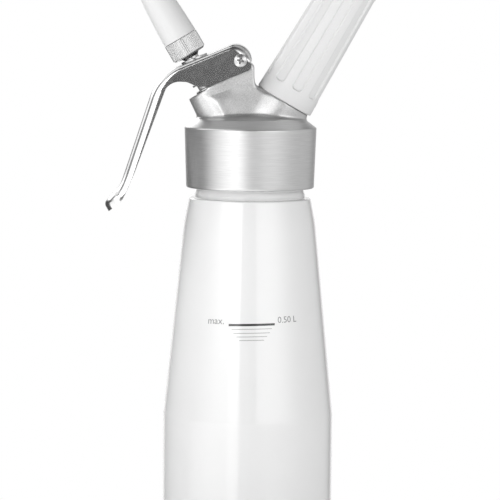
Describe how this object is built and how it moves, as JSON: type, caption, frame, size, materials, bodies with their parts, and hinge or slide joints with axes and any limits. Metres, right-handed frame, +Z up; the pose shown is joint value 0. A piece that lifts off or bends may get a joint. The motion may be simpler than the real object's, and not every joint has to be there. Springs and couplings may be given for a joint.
{
  "type": "whipped cream dispenser",
  "caption": "Pressurised cream bottle with a screw-on head, a lever valve, a gas charger holder and a star decorator tip.",
  "frame": {"origin": "centre of the bottle's foot ring, on the surface it stands on", "axes": "+Z up along the bottle's axis, +X towards the gas charger holder, -X towards the lever handle"},
  "size_m": [0.1322, 0.082, 0.2897],
  "materials": {
    "white_lacquer": "glossy white stove enamel over drawn aluminium",
    "silicone": "smooth moulded silicone",
    "cast_aluminium": "satin bead-blasted casting",
    "turned_steel": "turned stainless steel",
    "spring_steel": "drawn stainless wire",
    "black_rubber": "moulded black nitrile",
    "knurled_metal": "bright knurled aluminium",
    "white_plastic": "semi-gloss moulded plastic",
    "polished_metal": "polished pressing",
    "plated_steel": "zinc plated drawn steel"
  },
  "bodies": {
    "bottle": {"bottle": "white_lacquer"},
    "gasket": {"head_gasket": "silicone"},
    "head": {"head_casting": "cast_aluminium", "valve_guide_nut": "turned_steel", "stem_o_ring": "black_rubber", "spring_seat_washer": "turned_steel", "return_spring": "spring_steel", "piercing_pin": "turned_steel", "pin_seal": "black_rubber", "check_valve_stud": "turned_steel", "check_valve_sleeve": "black_rubber"},
    "lever": {"lever": "polished_metal", "lever_washer": "turned_steel", "pivot_sleeve": "turned_steel", "pivot_screw": "turned_steel"},
    "valve_stem": {"valve_stem": "turned_steel", "valve_piston": "turned_steel", "piston_seal": "black_rubber", "tip_adapter": "turned_steel"},
    "tip_washer": {"tip_seal": "black_rubber"},
    "decorator_tip": {"tip_collar": "knurled_metal", "tip_cone": "white_plastic"},
    "gas_charger": {"charger": "plated_steel", "charger_cap": "plated_steel"},
    "holder": {"charger_holder": "white_plastic"}
  },
  "joints": [
    {"name": "head_lift", "type": "slide", "parent": "bottle", "child": "gasket", "axis": [0, 0, 1], "range_m": [0, 0.012]},
    {"name": "head_turn", "type": "hinge", "parent": "gasket", "child": "head", "pos_m": [0, 0, 0.19], "axis": [0, 0, 1], "range_deg": [0, 1080.5]},
    {"name": "lever_press", "type": "hinge", "parent": "head", "child": "lever", "pos_m": [-0.0051, 0, 0.2375], "axis": [0, -1, 0], "range_deg": [0, 9], "stiffness_Nm_per_rad": 1.5, "springref_deg": -11.46},
    {"name": "stem_slide", "type": "slide", "parent": "head", "child": "valve_stem", "axis": [0.515, 0, -0.8572], "range_m": [0, 0.0032], "deforming": ["return_spring"]},
    {"name": "tip_lift", "type": "slide", "parent": "valve_stem", "child": "tip_washer", "axis": [-0.515, 0, 0.8572], "range_m": [0, 0.006]},
    {"name": "tip_turn", "type": "hinge", "parent": "tip_washer", "child": "decorator_tip", "pos_m": [-0.02019, 0, 0.2242], "axis": [-0.515, 0, 0.8572], "range_deg": [0, 1440.5]},
    {"name": "charger_lift", "type": "slide", "parent": "head", "child": "gas_charger", "axis": [0.503, 0, 0.8643], "range_m": [0, 0.008]},
    {"name": "holder_turn", "type": "hinge", "parent": "gas_charger", "child": "holder", "pos_m": [0.01589, 0, 0.21791], "axis": [0.503, 0, 0.8643], "range_deg": [0, 1440.5]}
  ],
  "couplings": [
    {"joint": "head_turn", "follows": "head_lift", "rad_per_m": 1570.8},
    {"joint": "stem_slide", "follows": "lever_press", "m_per_rad": 0.02},
    {"joint": "tip_turn", "follows": "tip_lift", "rad_per_m": 4188.8},
    {"joint": "holder_turn", "follows": "charger_lift", "rad_per_m": 3141.6}
  ]
}
